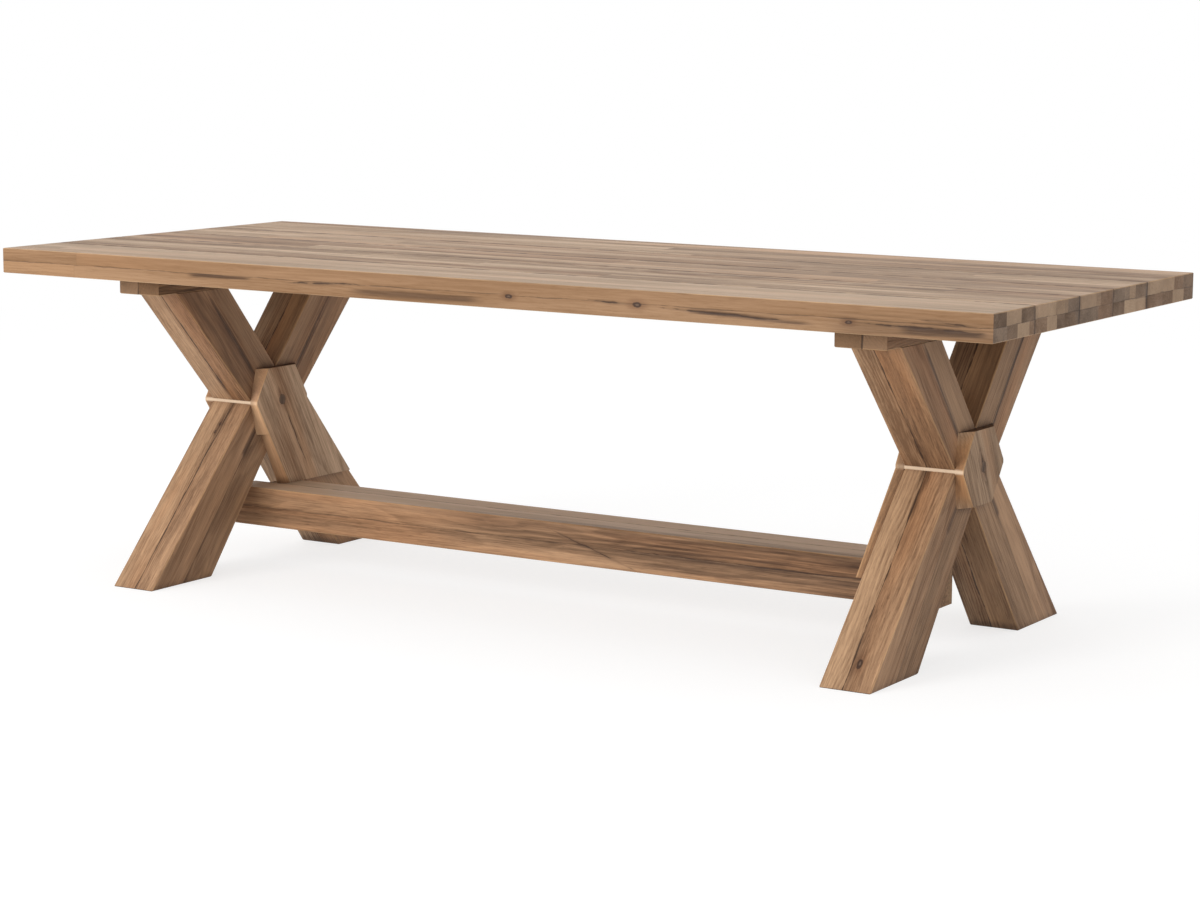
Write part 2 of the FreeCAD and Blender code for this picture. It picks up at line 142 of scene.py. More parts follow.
def make_sawn_teak():
    """Growth rings round a pith beside the board, broad streaks, and fine pores along the grain."""
    tree, given, result = effect(
        "Sawn Teak",
        {"Place": "Vector", "Seed": "Float", "Bulge": "Float", "Pale": "Color", "Dark": "Color",
         "Ring Width": "Float", "Figure": "Float", "Streaks": "Float"},
        {"Color": "Color", "Roughness": "Float", "Height": "Float"})
    shuffle = add(tree, "TexWhiteNoise", {"W": given["Seed"]}, noise_dimensions="1D").outputs["Color"]
    far_away = vector_calc(tree, "MULTIPLY", shuffle, (31.0, 17.0, 23.0))
    own_place = vector_calc(tree, "ADD", given["Place"], far_away)
    to_pith = swing(tree, shuffle, (0.0, 0.30, 0.30))
    flattened = vector_calc(tree, "MULTIPLY", given["Place"], (0.0, 1.0, 1.0))
    radius = vector_calc(tree, "LENGTH", vector_calc(tree, "ADD", flattened, to_pith))
    sway = noise(tree, own_place, (1.6, 9.0, 9.0), 2.0)
    ripple = noise(tree, own_place, (9.0, 80.0, 80.0), 2.0)
    bent = calc(tree, "MULTIPLY_ADD", sway, 0.09, radius)
    bent = calc(tree, "MULTIPLY_ADD", ripple, 0.005, bent)
    bent = calc(tree, "ADD", bent, given["Bulge"])
    year = calc(tree, "FRACT", calc(tree, "DIVIDE", bent, given["Ring Width"]))
    late_wood = calc(tree, "MULTIPLY", step(tree, year, 0.1, 0.8), step(tree, year, 0.82, 1.0, 1.0, 0.0))
    clear_wood = noise(tree, own_place, (1.1, 12.0, 12.0), 2.0)
    late_wood = calc(tree, "MULTIPLY", late_wood, step(tree, clear_wood, 0.35, 0.62))
    broad = noise(tree, own_place, (1.0, 15.0, 15.0), 2.0, 0.5)
    bands = noise(tree, own_place, (2.8, 78.0, 78.0), 5.0, 0.62)
    fibres = noise(tree, own_place, (8.5, 300.0, 300.0), 3.0, 0.65)
    pores = step(tree, noise(tree, own_place, (34.0, 900.0, 900.0), 1.0), 0.56, 0.72)
    tone = calc(tree, "MULTIPLY_ADD", late_wood, calc(tree, "MULTIPLY", given["Figure"], -1.0), 0.60)
    tone = calc(tree, "MULTIPLY_ADD", calc(tree, "SUBTRACT", broad, 0.5), 1.9, tone)
    tone = calc(tree, "MULTIPLY_ADD", calc(tree, "SUBTRACT", bands, 0.5), 1.0, tone)
    tone = calc(tree, "MULTIPLY_ADD", calc(tree, "SUBTRACT", fibres, 0.5), 1.25, tone)
    tone = calc(tree, "MULTIPLY_ADD", pores, -0.25, tone, clamp=True)
    colour = blend(tree, tone, given["Dark"], given["Pale"])
    russet = step(tree, noise(tree, own_place, (0.9, 10.0, 10.0), 2.0), 0.46, 0.66, 0.0, 0.6)
    colour = shade(tree, russet, colour, srgb(250, 228, 206))
    stain = noise(tree, own_place, (0.8, 24.0, 24.0), 3.0, 0.65)
    stain = calc(tree, "MULTIPLY", step(tree, stain, 0.54, 0.74), given["Streaks"])
    colour = shade(tree, stain, colour, srgb(150, 133, 124))
    tree.links.new(colour, result["Color"])
    tree.links.new(step(tree, tone, 0.0, 1.0, 0.70, 0.54), result["Roughness"])
    relief = calc(tree, "MULTIPLY_ADD", fibres, 0.5, calc(tree, "MULTIPLY", late_wood, 0.3))
    tree.links.new(calc(tree, "MULTIPLY_ADD", pores, -0.5, relief), result["Height"])
    return tree


def make_joint_line():
    """Uneven dark line where two boards meet, on a flat joint square to Facing at Offset."""
    tree, given, result = effect(
        "Joint Line",
        {"Position": "Vector", "Facing": "Vector", "Offset": "Float", "Half Width": "Float"},
        {"Mask": "Float"})
    height = vector_calc(tree, "DOT_PRODUCT", given["Position"], given["Facing"])
    wander = calc(tree, "SUBTRACT", noise(tree, given["Position"], (13.0, 13.0, 13.0), 3.0), 0.5)
    height = calc(tree, "MULTIPLY_ADD", wander, 0.007, height)
    gap = calc(tree, "ABSOLUTE", calc(tree, "SUBTRACT", height, given["Offset"]))
    uneven = noise(tree, given["Position"], (17.0, 17.0, 17.0), 3.0, 0.6)
    half = calc(tree, "MULTIPLY", given["Half Width"], step(tree, uneven, 0.36, 0.66, 0.22, 1.6))
    share = calc(tree, "DIVIDE", gap, half)
    tree.links.new(step(tree, share, 0.5, 1.3, 1.0, 0.0), result["Mask"])
    return tree


def make_arris_wear_and_highlight():
    """The eased edges of a board, faces that are neither along, across nor through it: partly wear, partly
    a painted highlight.
    """
    tree, given, result = effect(
        "Arris Wear And Highlight", {"Position": "Vector", "Grain": "Vector", "Across": "Vector"}, {"Mask": "Float"})
    facing = add(tree, "NewGeometry").outputs["True Normal"]
    through = vector_calc(tree, "CROSS_PRODUCT", given["Grain"], given["Across"])
    most = 0.0
    for side in (given["Grain"], given["Across"], through):
        share = calc(tree, "ABSOLUTE", vector_calc(tree, "DOT_PRODUCT", facing, side))
        most = calc(tree, "MAXIMUM", most, share)
    wear_and_highlight = noise(tree, given["Position"], (14.0, 14.0, 14.0), 3.0)
    slanted = step(tree, most, 0.78, 0.94, 1.0, 0.0)
    tree.links.new(calc(tree, "MULTIPLY", slanted, step(tree, wear_and_highlight, 0.3, 0.6, 0.45, 1.0)), result["Mask"])
    return tree


def make_knot():
    """A small knot: a dark eye with a paler heart, and the grain pushed aside round it."""
    tree, given, result = effect(
        "Knot", {"Place": "Vector", "Centre": "Vector", "Size": "Float"},
        {"Bulge": "Float", "Eye": "Float", "Heart": "Float", "Halo": "Float"})
    ragged = add(
        tree, "TexNoise", {"Vector": given["Place"], "Scale": 160.0, "Detail": 2.0}).outputs["Color"]
    shaken = swing(tree, ragged, (0.006, 0.003, 0.003))
    off = vector_calc(tree, "ADD", vector_calc(tree, "SUBTRACT", given["Place"], given["Centre"]), shaken)
    drawn_out = vector_calc(tree, "MULTIPLY", off, (0.5, 1, 1))
    reach = calc(tree, "DIVIDE", vector_calc(tree, "LENGTH", drawn_out), given["Size"])
    push = step(tree, reach, 0.0, 4.0, 1.6, 0.0)
    tree.links.new(calc(tree, "MULTIPLY", push, given["Size"]), result["Bulge"])
    tree.links.new(step(tree, reach, 0.75, 1.15, 1.0, 0.0), result["Eye"])
    tree.links.new(step(tree, reach, 0.25, 0.5, 1.0, 0.0), result["Heart"])
    tree.links.new(step(tree, reach, 0.9, 3.2, 1.0, 0.0), result["Halo"])
    return tree


def make_crack():
    """A drying crack that runs unevenly from Start to End and closes at both ends."""
    tree, given, result = effect(
        "Crack", {"Place": "Vector", "Start": "Vector", "End": "Vector", "Half Width": "Float"},
        {"Mask": "Float"})
    wander = add(
        tree, "TexNoise", {"Vector": given["Place"], "Scale": 17.0, "Detail": 4.0}).outputs["Color"]
    shaken = vector_calc(tree, "ADD", given["Place"], swing(tree, wander, (0.0, 0.010, 0.010)))
    share, away = from_line(tree, shaken, given["Start"], given["End"])
    closing = calc(tree, "SINE", calc(tree, "MULTIPLY", share, math.pi))
    open_here = noise(tree, given["Place"], (30.0, 30.0, 30.0), 2.0)
    half = calc(tree, "MULTIPLY", calc(tree, "MULTIPLY", given["Half Width"], closing),
                step(tree, open_here, 0.3, 0.65, 0.25, 1.4))
    edge = calc(tree, "MULTIPLY_ADD", half, 1.6, 0.0001)
    inside = step(tree, away, calc(tree, "MULTIPLY", half, 0.4), edge, 1.0, 0.0)
    darkened = step(tree, away, 0.0, calc(tree, "MULTIPLY_ADD", closing, 0.007, 0.0005), 0.38, 0.0)
    either = calc(tree, "MAXIMUM", inside, darkened)
    tree.links.new(calc(tree, "MULTIPLY", either, step(tree, closing, 0.0, 0.12)), result["Mask"])
    return tree


def make_stain():
    """A soft dark patch drawn out along the grain from Start to End."""
    tree, given, result = effect(
        "Stain", {"Place": "Vector", "Start": "Vector", "End": "Vector", "Half Width": "Float"},
        {"Mask": "Float"})
    share, away = from_line(tree, given["Place"], given["Start"], given["End"])
    streaky = noise(tree, given["Place"], (4.0, 170.0, 170.0), 4.0, 0.6)
    reach = calc(tree, "DIVIDE", away, given["Half Width"])
    soft = step(tree, calc(tree, "MULTIPLY_ADD", streaky, 2.2, reach), 1.0, 2.0, 1.0, 0.0)
    fading = step(tree, calc(tree, "SINE", calc(tree, "MULTIPLY", share, math.pi)), 0.0, 0.5)
    tree.links.new(calc(tree, "MULTIPLY", soft, fading), result["Mask"])
    return tree


def make_facing():
    """How squarely a face looks towards a direction, or with Both Ways at 1 away from it too."""
    tree, given, result = effect(
        "Facing", {"Direction": "Vector", "Both Ways": "Float", "Start": "Float", "Full": "Float"},
        {"Mask": "Float"})
    normal = add(tree, "NewGeometry").outputs["True Normal"]
    towards = vector_calc(tree, "DOT_PRODUCT", normal, given["Direction"])
    either = calc(tree, "ABSOLUTE", towards)
    chosen = calc(tree, "ADD", towards, calc(
        tree, "MULTIPLY", given["Both Ways"], calc(tree, "SUBTRACT", either, towards)))
    tree.links.new(step(tree, chosen, given["Start"], given["Full"]), result["Mask"])
    return tree


def make_corner_shade():
    """Painted shade where boards meet at an inner corner, darker the more closed in a point is."""
    tree, given, result = effect("Corner Shade", {"Reach": "Float"}, {"Mask": "Float"})
    openness = add(tree, "AmbientOcclusion", {"Distance": given["Reach"]}, samples=6).outputs["AO"]
    tree.links.new(step(tree, openness, 0.30, 0.95, 1.0, 0.0), result["Mask"])
    return tree


BOARD_PLACE = make_board_place()
SAWN_TEAK = make_sawn_teak()
JOINT_LINE = make_joint_line()
ARRIS_WEAR_AND_HIGHLIGHT = make_arris_wear_and_highlight()
KNOT = make_knot()
CRACK = make_crack()
STAIN = make_stain()
FACING = make_facing()
CORNER_SHADE = make_corner_shade()

JOINT_DARK = srgb(58, 40, 28)
CRACK_DARK = srgb(60, 40, 27)
KNOT_EYE = srgb(66, 45, 32)
KNOT_HEART = srgb(132, 108, 88)
KNOT_HALO = srgb(170, 140, 118)
# Paler tone of eased edges and hexagon rims: partly wear, partly painted highlight.
WEAR_AND_HIGHLIGHT_TONE = srgb(214, 172, 126)
BLEACHED_AND_SHEEN_TONE = srgb(208, 184, 158)
END_SHADE = srgb(200, 190, 178)
# Tone for real stains, and for painted shade in corners, on the bevels and along the stretcher's front.
STAIN_AND_SHADE_TONE = srgb(104, 84, 70)
RING_WIDTH = 0.007
HALO_SHARE = 0.45
HEART_SHARE = 0.4
CRACK_SHARE, CRACK_DEPTH = 0.9, 1.5
CORNER_SHADE_REACH, CORNER_SHADE_SHARE = 0.022, 0.6
RELIEF_SHARE, RELIEF_DEPTH = 0.35, 0.0012


def place_in_board(point, grain, across):
    """The same place as the Board Place effect gives, for a point of the table."""
    return tuple(Vector(point).dot(side) for side in (grain, across, grain.cross(across)))


def faces(tree, direction, start, full, both_ways=1.0):
    """The faces of a piece that look along a direction or, both ways, against it. Start and full are
    how squarely they look that way where the mask begins and where it is whole."""
    return use(tree, FACING, {
        "Direction": direction, "Both Ways": both_ways, "Start": start, "Full": full})["Mask"]


def teak(name, grain, across, pale, dark, seed, figure=0.28, streaks=0.5, wear_and_highlight=0.5, bleached_and_sheen=0.3,
         joints=(), knots=(), cracks=(), stains=(), bare=(), strips=None, ends=None, bevels=None):
    """Sawn teak with its own tone. Joints are (facing, offset, half width, strength), knots (centre,
    size), cracks (start, end, half width), stains the same with a strength, and bare faces
    (direction, colour, share). Strips, ends and bevels are functions that tone those parts."""
    material = bpy.data.materials.new(name)
    material.use_nodes = True
    tree = material.node_tree
    shader = tree.nodes["Principled BSDF"]
    position = add(tree, "TexCoord").outputs["Object"]
    place = use(tree, BOARD_PLACE, {"Position": position, "Grain": grain, "Across": across})["Place"]

    bulge, eyes = 0.0, []
    for centre, size in knots:
        centre = place_in_board(centre, grain, across)
        knot = use(tree, KNOT, {"Place": place, "Centre": centre, "Size": size})
        bulge = calc(tree, "ADD", bulge, knot["Bulge"])
        eyes.append(knot)
    if strips:
        pale, dark, seed = strips(tree, place, pale, dark)
    wood = use(tree, SAWN_TEAK, {
        "Place": place, "Seed": seed, "Bulge": bulge, "Pale": pale, "Dark": dark,
        "Ring Width": RING_WIDTH, "Figure": figure, "Streaks": streaks})
    colour, height = wood["Color"], wood["Height"]

    end_face = faces(tree, grain, 0.55, 0.8)
    colour = shade(tree, end_face, colour, END_SHADE)
    if ends:
        colour = blend(tree, end_face, colour, ends(tree, place, colour))
    # Upward faces turn paler and greyer: partly weathering, partly a painted sheen of sky light.
    upward = faces(tree, Z, 0.75, 0.97, both_ways=0.0)
    colour = blend(tree, calc(tree, "MULTIPLY", upward, bleached_and_sheen), colour, BLEACHED_AND_SHEEN_TONE)
    if bevels:
        colour = bevels(tree, position, colour)
    for direction, bare_colour, share in bare:
        mask = faces(tree, direction, 0.93, 0.985)
        colour = blend(tree, calc(tree, "MULTIPLY", mask, share), colour, bare_colour)
    # Eased edges turn paler: partly wear, partly a painted highlight.
    if wear_and_highlight:
        arris = use(tree, ARRIS_WEAR_AND_HIGHLIGHT, {"Position": position, "Grain": grain, "Across": across})["Mask"]
        colour = blend(tree, calc(tree, "MULTIPLY", arris, wear_and_highlight), colour, WEAR_AND_HIGHLIGHT_TONE)

    for start, end, half_width, strength in stains:
        patch = use(tree, STAIN, {
            "Place": place, "Start": place_in_board(start, grain, across),
            "End": place_in_board(end, grain, across), "Half Width": half_width})["Mask"]
        colour = shade(tree, calc(tree, "MULTIPLY", patch, strength), colour, STAIN_AND_SHADE_TONE)
    for knot in eyes:
        colour = shade(tree, calc(tree, "MULTIPLY", knot["Halo"], HALO_SHARE), colour, KNOT_HALO)
        colour = blend(tree, knot["Eye"], colour, KNOT_EYE)
        colour = blend(tree, calc(tree, "MULTIPLY", knot["Heart"], HEART_SHARE), colour, KNOT_HEART)
    for facing, offset, half_width, strength in joints:
        line = use(tree, JOINT_LINE, {
            "Position": position, "Facing": facing, "Offset": offset, "Half Width": half_width})["Mask"]
        colour = blend(tree, calc(tree, "MULTIPLY", line, strength), colour, JOINT_DARK)
        height = calc(tree, "SUBTRACT", height, line)
    for start, end, half_width in cracks:
        line = use(tree, CRACK, {
            "Place": place, "Start": place_in_board(start, grain, across),
            "End": place_in_board(end, grain, across), "Half Width": half_width})["Mask"]
        colour = blend(tree, calc(tree, "MULTIPLY", line, CRACK_SHARE), colour, CRACK_DARK)
        height = calc(tree, "MULTIPLY_ADD", line, -CRACK_DEPTH, height)
    # Painted shade in inner corners and where pieces meet.
    painted_corner_shade = use(tree, CORNER_SHADE, {"Reach": CORNER_SHADE_REACH})["Mask"]
    colour = shade(tree, calc(tree, "MULTIPLY", painted_corner_shade, CORNER_SHADE_SHARE), colour, STAIN_AND_SHADE_TONE)

    bump = add(tree, "Bump", {"Height": height, "Strength": RELIEF_SHARE, "Distance": RELIEF_DEPTH})
    tree.links.new(colour, shader.inputs["Base Color"])
    tree.links.new(wood["Roughness"], shader.inputs["Roughness"])
    tree.links.new(bump.outputs["Normal"], shader.inputs["Normal"])
    shader.inputs["Specular IOR Level"].default_value = 0.3
    return material


def finish_with(name, material):
    """Puts a material on a piece."""
    nodes[name].material_slots[0].material = material


STRETCHER_PALE = srgb(188, 147, 110)
LOWER_PALE = srgb(200, 158, 120)
STRETCHER_DARK = srgb(106, 78, 55)
STRETCHER_END = srgb(160, 128, 96)
END_SHARE = 0.5
middle_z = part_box("stretcher_front_upper")[0].z
seam_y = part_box("stretcher_rear")[0].y
face_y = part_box("stretcher_front_upper")[0].y
beam_joint = (Z, middle_z, 0.0015, 0.45)
back_joint = (Y, seam_y, 0.0018, 0.8)
front_cracks = (
    (Vector((-0.031, face_y, 0.171)), Vector((0.200, face_y, 0.097)), 0.0011),
    (Vector((0.090, face_y, middle_z)), Vector((0.860, face_y, middle_z)), 0.0011),
)
# Broad soft patches that darken the front towards its right end: painted shade, the fall-off of light along
# the stretcher.
front_shade_patches = (
    (Vector((-0.500, face_y, 0.172)), Vector((1.700, face_y, 0.165)), 0.085, 0.55),
    (Vector((0.000, face_y, 0.122)), Vector((2.200, face_y, 0.112)), 0.080, 0.50),
    (Vector((0.400, face_y, middle_z)), Vector((2.200, face_y, middle_z)), 0.090, 0.25),
)
sawn_ends = ((X, STRETCHER_END, END_SHARE),)
finish_with("stretcher_front_upper", teak(
    "stretcher_upper_teak", X, Y, STRETCHER_PALE, STRETCHER_DARK, 11.0, bleached_and_sheen=0.7,
    joints=(beam_joint, back_joint), cracks=front_cracks, stains=front_shade_patches, bare=sawn_ends))
finish_with("stretcher_front_lower", teak(
    "stretcher_lower_teak", X, Y, LOWER_PALE, STRETCHER_DARK, 12.0,
    joints=(beam_joint, back_joint), cracks=front_cracks, stains=front_shade_patches, bare=sawn_ends))
finish_with("stretcher_rear", teak(
    "stretcher_rear_teak", X, Y, STRETCHER_PALE, STRETCHER_DARK, 13.0, bleached_and_sheen=0.6,
    joints=(back_joint,), bare=sawn_ends))


# ---- stretcher pins -------------------------------------------------------------------
# One small round-headed steel pin in each end of the stretcher, bright where it was
# driven and a little scuffed.

def steel(name, colour, roughness):
    """Plain steel with a fine brushed scuff."""
    material = bpy.data.materials.new(name)
    material.use_nodes = True
    tree = material.node_tree
    shader = tree.nodes["Principled BSDF"]
    position = add(tree, "TexCoord").outputs["Object"]
    scuff = noise(tree, position, (900.0, 900.0, 300.0), 3.0)
    dull = step(tree, scuff, 0.3, 0.7, 0.78, 1.0)
    tree.links.new(blend(tree, 1.0, colour, dull, "MULTIPLY"), shader.inputs["Base Color"])
    tree.links.new(step(tree, scuff, 0.3, 0.7, roughness, roughness + 0.18), shader.inputs["Roughness"])
    shader.inputs["Metallic"].default_value = 1.0
    bump = add(tree, "Bump", {"Height": scuff, "Strength": 0.1, "Distance": 0.0002})
    tree.links.new(bump.outputs["Normal"], shader.inputs["Normal"])
    return material


finish_with("stretcher_pins", steel("pin_steel", srgb(205, 203, 198), 0.28))


# ---- hubs -----------------------------------------------------------------------------
# One thick block of teak in the middle of each trestle. The four half-legs sit on its
# slanted sides, and its end stands out as a hexagon with wide bevelled sides.

# Pale tone of the painted highlight along the hexagon's edge.
VERTEX_HIGHLIGHT = srgb(230, 204, 175)
BEVEL_TINT = 0.45
BEVEL_SHADE = 0.4
RIM_HIGHLIGHT_SHARE = 0.5


def bevels_in(tone, edge_z, highlight_half, highlight_share, rim_x):
    """Gives the sawn bevels of a hexagon, which turn away from X, their own tone, a painted shade that
    deepens away from the face's rim, a painted highlight in a band along the edge between them, and a
    painted highlight along the rim."""
    def bevels(tree, position, colour):
        bevel = calc(tree, "SUBTRACT", 1.0, faces(tree, X, 0.7, 0.95))
        tinted = blend(tree, BEVEL_TINT, blend(tree, 1.0, colour, tone, "SOFT_LIGHT"), tone)
        colour = blend(tree, bevel, colour, tinted)
        reach = calc(tree, "ABSOLUTE", vector_calc(tree, "DOT_PRODUCT", position, X))
        off_rim = calc(tree, "ABSOLUTE", calc(tree, "SUBTRACT", reach, rim_x))
        # Painted shade on the bevels, deeper the farther they lie from the face's rim.
        deep_shade = calc(tree, "MULTIPLY", step(tree, off_rim, 0.004, 0.018, 0.0, BEVEL_SHADE), bevel)
        colour = shade(tree, deep_shade, colour, STAIN_AND_SHADE_TONE)
        # Painted highlight in a band along the edge between the bevels.
        height = vector_calc(tree, "DOT_PRODUCT", position, Z)
        off_edge = calc(tree, "ABSOLUTE", calc(tree, "SUBTRACT", height, edge_z))
        vertex_highlight = calc(tree, "MULTIPLY", step(tree, off_edge, 0.001, highlight_half, highlight_share, 0.0), bevel)
        colour = blend(tree, vertex_highlight, colour, VERTEX_HIGHLIGHT)
        # Painted highlight along the rim of the face.
        rim_highlight = calc(tree, "MULTIPLY", step(tree, off_rim, 0.0005, 0.0045, RIM_HIGHLIGHT_SHARE, 0.0), bevel)
        return blend(tree, rim_highlight, colour, WEAR_AND_HIGHLIGHT_TONE)
    return bevels


HUB_LEAN = math.radians(27)
HUB_PALE = srgb(186, 154, 123)
HUB_DARK = srgb(112, 87, 65)
# Each end's bevel tone: the left hub's is darker, a painted shade on the trestle's inner side.
HUB_BEVEL_TONES_AND_SHADE = {"right": srgb(206, 161, 117), "left": srgb(176, 140, 106)}
HUB_VERTEX_HIGHLIGHT = (0.007, 0.9)
HUB_KNOT = 0.0075
# Faces that look up or down on the hubs and braces are darkened: painted shade on these level cuts.
CUT_SHADE_TONE, CUT_SHADE_SHARE = srgb(76, 54, 38), 0.85
hub_z = sum(corner.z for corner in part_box("right_hub")) / 2
for end, way in (("right", 1), ("left", -1)):
    grain = Vector((0, math.sin(HUB_LEAN) * way, -math.cos(HUB_LEAN)))
    across = Vector((0, math.cos(HUB_LEAN) * way, math.sin(HUB_LEAN)))
    face_x = max(abs(corner.x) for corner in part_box(end + "_hub")) * way
    heart = Vector((face_x, 0, hub_z))
    finish_with(end + "_hub", teak(
        end + "_hub_teak", grain, across, HUB_PALE, HUB_DARK, 20.0 + way, streaks=0.2, wear_and_highlight=0,
        bare=((Z, CUT_SHADE_TONE, CUT_SHADE_SHARE),),
        bevels=bevels_in(HUB_BEVEL_TONES_AND_SHADE[end], hub_z, *HUB_VERTEX_HIGHLIGHT, abs(face_x)),
        knots=((heart, HUB_KNOT),),
        cracks=(
            (heart + grain * -0.050, heart + grain * 0.012, 0.0014),
            (heart + grain * 0.002, heart + grain * 0.085, 0.0012),
        )))


# ---- legs -----------------------------------------------------------------------------
# Four half-legs to a trestle, each glued up from four staves of different old boards, so
# a glue line runs down every side. Long edges are eased and the feet are cut level.

LEG_LEAN = math.radians(39.8)
PALE_STAVE = srgb(196, 158, 122), srgb(124, 93, 67)
RED_STAVE = srgb(193, 152, 115), srgb(116, 85, 61)
GREY_STAVE = srgb(186, 153, 121), srgb(104, 79, 59)
BROWN_STAVE = srgb(182, 144, 108), srgb(100, 74, 54)
# Darker, browner stave: partly its own tone, partly painted shade under the table top.
RUST_SHADED_STAVE = srgb(176, 134, 97), srgb(96, 68, 48)
STAVES = {
    ("face", -1): PALE_STAVE, ("face", 1): RED_STAVE, ("back", -1): GREY_STAVE, ("back", 1): BROWN_STAVE}
# The legs' sides that look along X take a tone for each trestle: a painted shade on the right trestle, a
# paler tone on the left.
SIDE_SHADE_TONES = {"right": srgb(116, 88, 64), "left": srgb(176, 142, 112)}
SIDE_SHADE_SHARE = 0.22
# Where the seams between staves start at the hub: on the leg's side, and on its front face.
SEAM_START_Y, SEAM_START_RISE = 0.0640, 0.0497
VERTEX_Y, VERTEX_RISE = 0.095, 0.0035
# Half width and strength of the seams, and of the stains that run out along them.
FACE_SEAM = (0.0015, 0.85)
SIDE_SEAM_HALF = 0.0020
SIDE_SEAMS = {"front_upper": 0.6, "front_lower": 0.3, "rear_upper": 0.5, "rear_lower": 0.15}
FACE_STAIN = (0.017, 0.75)
FACE_STAIN_BACK = 0.03
FACE_STAIN_RUN = {"upper": 0.52, "lower": 0.20}
SIDE_STAIN = (0.015, 0.75)
SIDE_STAIN_RUN = {"upper": 0.30, "lower": 0.10}
LEG_KNOTS = {
    "right_front_lower": ((0.912, -0.412, 0.047, 0.0060),),
    "left_front_lower": ((-0.902, -0.138, 0.340, 0.0034), (-0.904, -0.153, 0.323, 0.0026)),
}
stave_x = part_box("right_leg_front_lower_outer_face")[0].x
leg_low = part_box("right_leg_front_lower_inner_face")[0].x
leg_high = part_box("right_leg_front_lower_outer_face")[1].x
seed = 30.0
for end, way in (("right", 1), ("left", -1)):
    for side, front in (("front", -1), ("rear", 1)):
        for level, up in (("upper", 1), ("lower", -1)):
            grain = Vector((0, math.sin(LEG_LEAN) * front, math.cos(LEG_LEAN) * up))
            across = Vector((0, math.cos(LEG_LEAN) * front, -math.sin(LEG_LEAN) * up))
            seam_start = Vector((0, front * SEAM_START_Y, hub_z + up * SEAM_START_RISE))
            vertex = Vector((stave_x * way, front * VERTEX_Y, hub_z + up * VERTEX_RISE))
            face_seam = (X, stave_x * way, *FACE_SEAM)
            side_seam = (across, across.dot(seam_start), SIDE_SEAM_HALF, SIDE_SEAMS[f"{side}_{level}"])
            stains = []
            for x in (leg_low, leg_high):
                start = seam_start + X * x * way
                stains.append((start, start + grain * SIDE_STAIN_RUN[level], *SIDE_STAIN))
            start = vertex - grain * FACE_STAIN_BACK
            stains.append((start, vertex + grain * FACE_STAIN_RUN[level], *FACE_STAIN))
            knots = [(Vector(mark[:3]), mark[3]) for mark in LEG_KNOTS.get(f"{end}_{side}_{level}", ())]
            for place, turned in (("inner", -1), ("outer", 1)):
                for depth in ("face", "back"):
                    seed += 1.0
                    name = f"{end}_leg_{side}_{level}_{place}_{depth}"
                    pale, dark = STAVES[depth, turned * way]
                    # One face stave of each front upper half-leg takes the darker, browner tone: partly its
                    # own, partly painted shade under the table top.
                    if (side, level, depth) == ("front", "upper", "face") and turned == way:
                        pale, dark = RUST_SHADED_STAVE
                    finish_with(name, teak(
                        name + "_teak", grain, across, pale, dark, seed, wear_and_highlight=0.3, knots=knots,
                        joints=(face_seam, side_seam), stains=stains,
                        bare=((X, SIDE_SHADE_TONES[end], SIDE_SHADE_SHARE),)))


# ---- braces ---------------------------------------------------------------------------
# A board on the inner side of each trestle: a bevelled hexagon over the hub that runs on
# as a strut and stands on the stretcher. Its sawn bevels have their own tone, darker on the
# right brace as painted shade.

BRACE_LEAN = math.radians(29)
BRACE_PALE = srgb(230, 198, 165)
BRACE_DARK = srgb(138, 110, 85)
# The right brace's bevels are darker: painted shade.
BRACE_BEVEL_TONES_AND_SHADE = {"right": srgb(158, 132, 106), "left": srgb(210, 174, 142)}
BRACE_VERTEX_HIGHLIGHT = (0.008, 0.25)
BRACE_KNOT = 0.0070
for end, way in (("right", 1), ("left", -1)):
    grain = Vector((0, -math.sin(BRACE_LEAN) * way, -math.cos(BRACE_LEAN)))
    across = Vector((0, -math.cos(BRACE_LEAN) * way, math.sin(BRACE_LEAN)))
    face_x = min(abs(corner.x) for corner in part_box(end + "_brace")) * way
    heart = Vector((face_x, 0, hub_z))
    finish_with(end + "_brace", teak(
        end + "_brace_teak", grain, across, BRACE_PALE, BRACE_DARK, 70.0 + way, streaks=0.3, wear_and_highlight=0,
        bare=((Z, CUT_SHADE_TONE, CUT_SHADE_SHARE),),
        bevels=bevels_in(BRACE_BEVEL_TONES_AND_SHADE[end], hub_z, *BRACE_VERTEX_HIGHLIGHT, abs(face_x)),
        knots=((heart, BRACE_KNOT),),
        cracks=(
            (heart + grain * -0.040, heart + grain * 0.010, 0.0014),
            (heart + grain * 0.005, heart + grain * 0.20, 0.0014),
        )))


# ---- bearers --------------------------------------------------------------------------
# A rail of two glued strips on top of each trestle, screwed up into the table top. The
# inner strip's sawn end is the darker of the two.

BEARER_END_SHARE = 0.55
BEARER_TONES = {
    "inner": (srgb(170, 136, 100), srgb(90, 68, 48), srgb(146, 112, 80)),
    "outer": (srgb(162, 126, 92), srgb(84, 62, 43), srgb(172, 138, 106))}
bearer_seam_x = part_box("right_bearer_outer_strip")[0].x
for end, way in (("right", 1), ("left", -1)):
    for strip, (pale, dark, end_tone) in BEARER_TONES.items():
        seed += 1.0
        name = f"{end}_bearer_{strip}_strip"
        finish_with(name, teak(
            name + "_teak", Y, X, pale, dark, seed, joints=((X, bearer_seam_x * way, 0.0016, 0.8),),
            bare=((Y, end_tone, BEARER_END_SHARE),)))


# ---- top ------------------------------------------------------------------------------
# Five wide planks in two glued layers. Each layer is itself made of narrow strips with
# butt joints along their length, so the ends show a patchwork of end grain.

